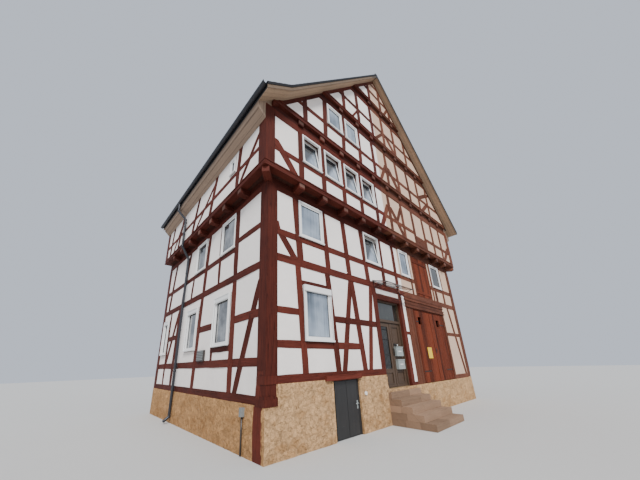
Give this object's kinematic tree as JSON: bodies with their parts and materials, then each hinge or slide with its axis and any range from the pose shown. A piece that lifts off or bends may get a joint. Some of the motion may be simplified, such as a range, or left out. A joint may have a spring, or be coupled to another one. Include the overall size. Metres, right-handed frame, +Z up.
{
  "type": "half timbered house",
  "caption": "Hollow half timbered gabled house on a sandstone plinth, jettied, with steep slate roof and hinged entrance, cellar and barn doors.",
  "frame": {"origin": "middle of the bounding box at ground level", "axes": "+X along the gable front to the right as seen from the street, +Y back along the eaves side, +Z up"},
  "size_m": [12.33, 9.33, 14.245],
  "materials": {
    "timber": "red-brown painted oak timbers, weathered",
    "plaster": "white lime plaster panels",
    "sandstone": "rough ochre sandstone masonry",
    "floor_stone": "worn stone floor",
    "floor_boards": "plain softwood boards on joists",
    "white_frame": "white window frames",
    "pane": "clear glass",
    "door_boards": "orange-brown painted boards",
    "entrance_wood": "brown varnished door",
    "letter_metal": "grey enamelled sheet",
    "canopy_metal": "dark painted metal",
    "dark_metal": "dark grey painted metal",
    "slate": "dark roof slates",
    "soffit_wood": "stained soffit boards",
    "dark_zinc": "dark coated zinc"
  },
  "bodies": {
    "house": {"plinth_front": "sandstone", "plinth_hall": "sandstone", "plinth_left": "sandstone", "plinth_right": "sandstone", "plinth_back": "sandstone", "cellar_wall": "sandstone", "corner_posts": "timber", "front_frame_ground": "timber", "front_infill_ground": "plaster", "front_frame_upper": "timber", "front_infill_upper": "plaster", "gable_frame": "timber", "gable_infill": "plaster", "left_frame": "timber", "left_infill": "plaster", "right_frame": "timber", "right_infill": "plaster", "back_frame": "timber", "back_infill": "plaster", "jetty_second": "timber", "jetty_attic": "timber", "ground_floor": "floor_stone", "floor_first": "floor_boards", "floor_second": "floor_boards", "floor_attic": "floor_boards", "front_window_frames": "white_frame", "front_window_glass": "pane", "side_window_frames": "white_frame", "side_window_glass": "pane", "loading_hatch": "door_boards", "door_lintels": "timber", "entrance_frame": "entrance_wood", "canopy_glass": "pane", "canopy_brackets": "canopy_metal", "entrance_steps": "sandstone", "cellar_frame": "dark_metal", "barn_frame": "door_boards", "roof_left": "slate", "roof_right": "slate", "ridge_cap": "slate", "verge_boards": "soffit_wood", "eaves_boxes": "soffit_wood", "gutters": "dark_zinc"},
    "cellar_leaf": {"cellar_door": "dark_metal"},
    "entrance_left": {"entrance_leaf_left": "entrance_wood", "entrance_glass": "pane"},
    "entrance_right": {"entrance_leaf_right": "entrance_wood", "letter_boxes": "letter_metal"},
    "barn_left": {"barn_leaf_left": "door_boards"},
    "barn_right": {"barn_leaf_right": "door_boards"}
  },
  "joints": [
    {"name": "cellar_door_hinge", "type": "hinge", "parent": "house", "child": "cellar_leaf", "pos_m": [-3.61, -3.464, 0.6], "axis": [0, 0, -1], "range_deg": [0, 110]},
    {"name": "entrance_left_hinge", "type": "hinge", "parent": "house", "child": "entrance_left", "pos_m": [-1.335, -3.286, 1.8], "axis": [0, 0, 1], "range_deg": [0, 95]},
    {"name": "entrance_right_hinge", "type": "hinge", "parent": "house", "child": "entrance_right", "pos_m": [-0.055, -3.286, 1.8], "axis": [0, 0, -1], "range_deg": [0, 95]},
    {"name": "barn_left_hinge", "type": "hinge", "parent": "house", "child": "barn_left", "pos_m": [0.985, -3.484, 2.1], "axis": [0, 0, -1], "range_deg": [0, 160]},
    {"name": "barn_right_hinge", "type": "hinge", "parent": "house", "child": "barn_right", "pos_m": [3.515, -3.484, 2.1], "axis": [0, 0, 1], "range_deg": [0, 160]}
  ]
}
